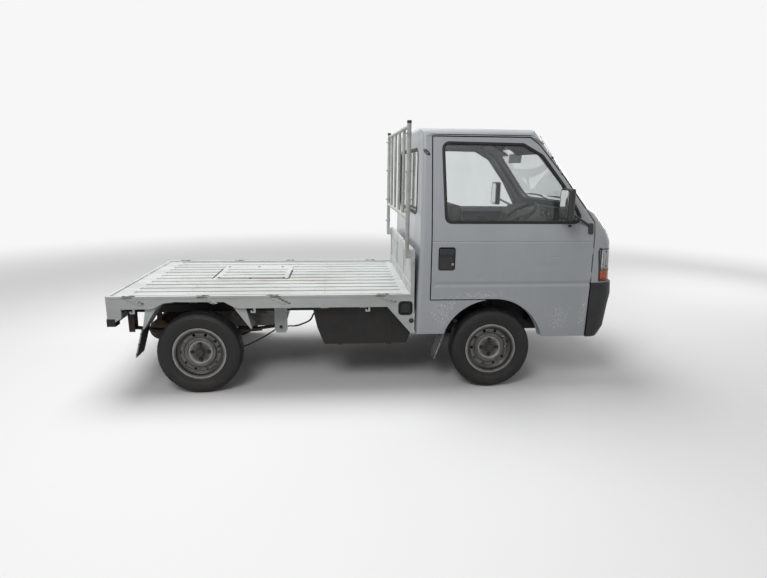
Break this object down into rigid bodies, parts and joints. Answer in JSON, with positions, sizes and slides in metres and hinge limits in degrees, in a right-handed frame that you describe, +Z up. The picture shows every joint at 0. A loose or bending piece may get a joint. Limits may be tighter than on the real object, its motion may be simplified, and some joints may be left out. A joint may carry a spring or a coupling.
{
  "type": "kei truck",
  "caption": "Small forward-control flatbed truck with a two-door cab, guard frame behind the cab and a flat ribbed load bed whose drop gates are taken off.",
  "frame": {"origin": "on the ground, under the middle of the vehicle's length and width", "axes": "+X forwards, +Y to the left, +Z up"},
  "size_m": [3.295, 1.698, 1.7249],
  "materials": {
    "cab_paint": "aged off-white paint with chips",
    "bed_paint": "cream paint, worn and rust-spotted",
    "chassis_black": "dull black underseal",
    "bumper_plastic": "faded black",
    "mirror_plastic": "satin black",
    "glass": "clear",
    "lamp_lens": "clear and amber lens",
    "tail_lens": "red lens",
    "tyre": "worn",
    "rim_steel": "silver-grey enamel",
    "rubber": "dull",
    "dash_plastic": "grained grey",
    "seat_vinyl": "black vinyl",
    "steering_plastic": "worn black",
    "engine_alloy": "dirty casting",
    "exhaust_steel": "rusty",
    "spring_steel": "dark, oily"
  },
  "bodies": {
    "chassis": {"cab_roof": "cab_paint", "cab_back": "cab_paint", "cab_sides": "cab_paint", "cab_nose": "cab_paint", "front_lamps": "lamp_lens", "cab_glass": "glass", "cab_floor": "chassis_black", "dashboard": "dash_plastic", "seat_cushions": "seat_vinyl", "seat_backs": "seat_vinyl", "interior_mirror": "mirror_plastic", "front_bumper": "bumper_plastic", "chassis_frame": "chassis_black", "engine_block": "engine_alloy", "rear_axle": "chassis_black", "leaf_springs": "spring_steel", "exhaust": "exhaust_steel", "bed_floor": "bed_paint", "engine_hatch": "bed_paint", "bed_rails": "bed_paint", "rear_apron": "bed_paint", "tail_lamps": "tail_lens", "rubber_stops": "rubber", "front_board": "bed_paint", "guard_frame": "bed_paint", "rear_mudguards": "bed_paint", "mud_flaps": "rubber", "fuel_tank": "chassis_black", "battery_box": "bumper_plastic", "skirts": "bed_paint"},
    "door_left": {"door_left": "cab_paint", "door_glass_left": "glass", "door_mirror_left": "mirror_plastic"},
    "door_right": {"door_right": "cab_paint", "door_glass_right": "glass", "door_mirror_right": "mirror_plastic"},
    "knuckle_left": {"knuckle_left": "chassis_black"},
    "knuckle_right": {"knuckle_right": "chassis_black"},
    "wheel_front_left": {"tyre_front_left": "tyre", "rim_front_left": "rim_steel"},
    "wheel_front_right": {"tyre_front_right": "tyre", "rim_front_right": "rim_steel"},
    "wheel_rear_left": {"tyre_rear_left": "tyre", "rim_rear_left": "rim_steel"},
    "wheel_rear_right": {"tyre_rear_right": "tyre", "rim_rear_right": "rim_steel"},
    "steering_rack": {"tie_rods": "chassis_black"},
    "steering_wheel": {"steering_wheel": "steering_plastic"}
  },
  "joints": [
    {"name": "door_left_hinge", "type": "hinge", "parent": "chassis", "child": "door_left", "pos_m": [1.438, 0.694, 0.85], "axis": [0, 0, -1], "range_deg": [0, 65]},
    {"name": "door_right_hinge", "type": "hinge", "parent": "chassis", "child": "door_right", "pos_m": [1.438, -0.694, 0.85], "axis": [0, 0, 1], "range_deg": [0, 65]},
    {"name": "steer_right", "type": "hinge", "parent": "chassis", "child": "knuckle_right", "pos_m": [0.8, -0.536, 0.195], "axis": [0, 0.1571, 0.9876], "range_deg": [-35, 35]},
    {"name": "steer_left", "type": "hinge", "parent": "chassis", "child": "knuckle_left", "pos_m": [0.8, 0.536, 0.195], "axis": [0, -0.1571, 0.9876], "range_deg": [-35, 35]},
    {"name": "rack_slide", "type": "slide", "parent": "chassis", "child": "steering_rack", "axis": [0, 1, 0], "range_m": [-0.075, 0.075]},
    {"name": "steering_wheel_turn", "type": "hinge", "parent": "chassis", "child": "steering_wheel", "pos_m": [1.01, -0.35, 1.11], "axis": [-0.5736, 0, 0.8192], "range_deg": [-560, 560]},
    {"name": "roll_front_left", "type": "hinge", "parent": "knuckle_left", "child": "wheel_front_left", "pos_m": [0.8, 0.6075, 0.268], "axis": [0, 1, 0], "continuous": true},
    {"name": "roll_front_right", "type": "hinge", "parent": "knuckle_right", "child": "wheel_front_right", "pos_m": [0.8, -0.6075, 0.268], "axis": [0, 1, 0], "continuous": true},
    {"name": "roll_rear_left", "type": "hinge", "parent": "chassis", "child": "wheel_rear_left", "pos_m": [-1.1, 0.6075, 0.268], "axis": [0, 1, 0], "continuous": true},
    {"name": "roll_rear_right", "type": "hinge", "parent": "chassis", "child": "wheel_rear_right", "pos_m": [-1.1, -0.6075, 0.268], "axis": [0, 1, 0], "continuous": true}
  ],
  "couplings": [
    {"joint": "steer_left", "follows": "steer_right", "ratio": 1},
    {"joint": "rack_slide", "follows": "steer_right", "m_per_rad": 0.122},
    {"joint": "steering_wheel_turn", "follows": "steer_right", "ratio": 16}
  ]
}
